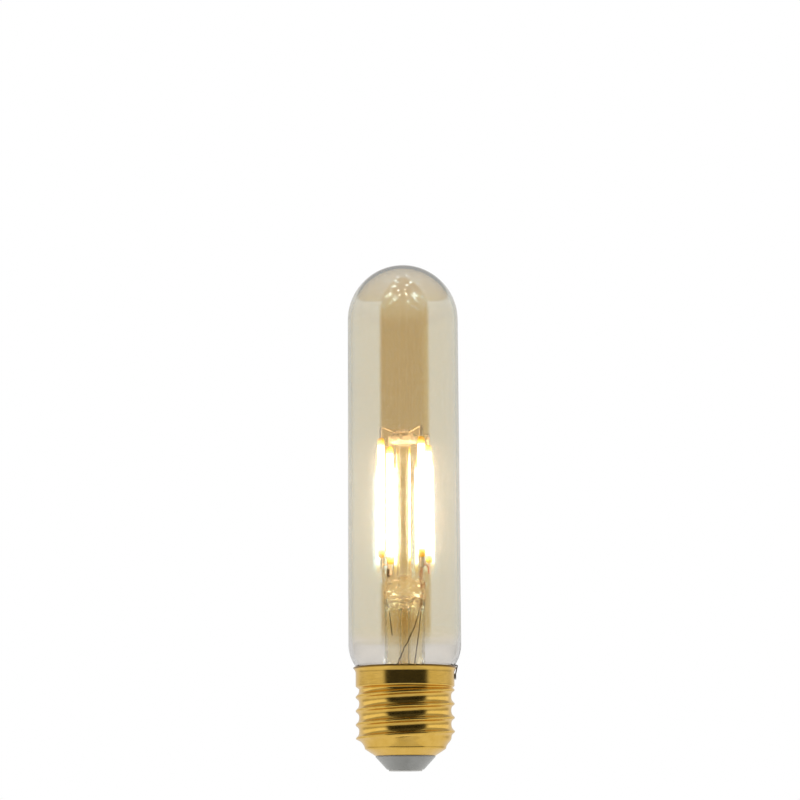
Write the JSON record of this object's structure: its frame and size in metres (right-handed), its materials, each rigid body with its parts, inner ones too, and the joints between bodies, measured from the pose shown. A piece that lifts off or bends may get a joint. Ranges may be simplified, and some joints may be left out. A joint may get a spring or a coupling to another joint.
{
  "type": "led filament bulb",
  "caption": "Slim tubular amber glass bulb with upright light filaments round a glass stem and a brass screw cap that carries a driver inside.",
  "frame": {"origin": "middle of the centre contact's face, at the foot of the screw cap, on the axis of the bulb", "axes": "+Z along the bulb's axis from the contact to the dome, +X to the side wire on the rim, -Y to the front seen in the picture"},
  "size_m": [0.03, 0.03, 0.1365],
  "materials": {
    "amber_glass": "clear amber coating, fading out above the cap",
    "stem_glass": "clear, fire polished",
    "phosphor": "phosphor in silicone",
    "tab_steel": "bare, satin",
    "steel_wire": "drawn wire",
    "sleeve_metal": "crimped, dull",
    "copper_wire": "copper-clad wire",
    "shell_brass": "bright, rolled",
    "insulator_plastic": "pale grey, moulded",
    "contact_metal": "plated",
    "solder": "dull solder",
    "cement": "baked cement",
    "board": "solder mask",
    "component_black": "moulded",
    "resistor_body": "lacquered"
  },
  "bodies": {
    "root": {"glass_envelope": "amber_glass", "stem_tube": "stem_glass", "exhaust_tube": "stem_glass", "centre_post": "stem_glass", "support_wire_front": "steel_wire", "support_wire_rear": "steel_wire", "junction_wire": "steel_wire", "junction_link": "steel_wire", "junction_sleeve": "sleeve_metal", "lead_wire_front": "copper_wire", "lead_wire_rear": "copper_wire", "screw_shell": "shell_brass", "cap_insulator": "insulator_plastic", "centre_contact": "contact_metal", "contact_wire": "copper_wire", "side_wire": "steel_wire", "side_solder": "solder", "cap_cement": "cement", "driver_board": "board", "bridge_rectifier": "component_black", "driver_chip": "component_black", "smoothing_capacitor": "component_black", "fuse_resistor": "resistor_body", "filament_front_left": "phosphor", "tab_front_left_bottom": "tab_steel", "tab_front_left_top": "tab_steel", "filament_front_right": "phosphor", "tab_front_right_bottom": "tab_steel", "tab_front_right_top": "tab_steel", "filament_rear_left": "phosphor", "tab_rear_left_bottom": "tab_steel", "tab_rear_left_top": "tab_steel", "filament_rear_right": "phosphor", "tab_rear_right_bottom": "tab_steel", "tab_rear_right_top": "tab_steel"}
  },
  "joints": []
}
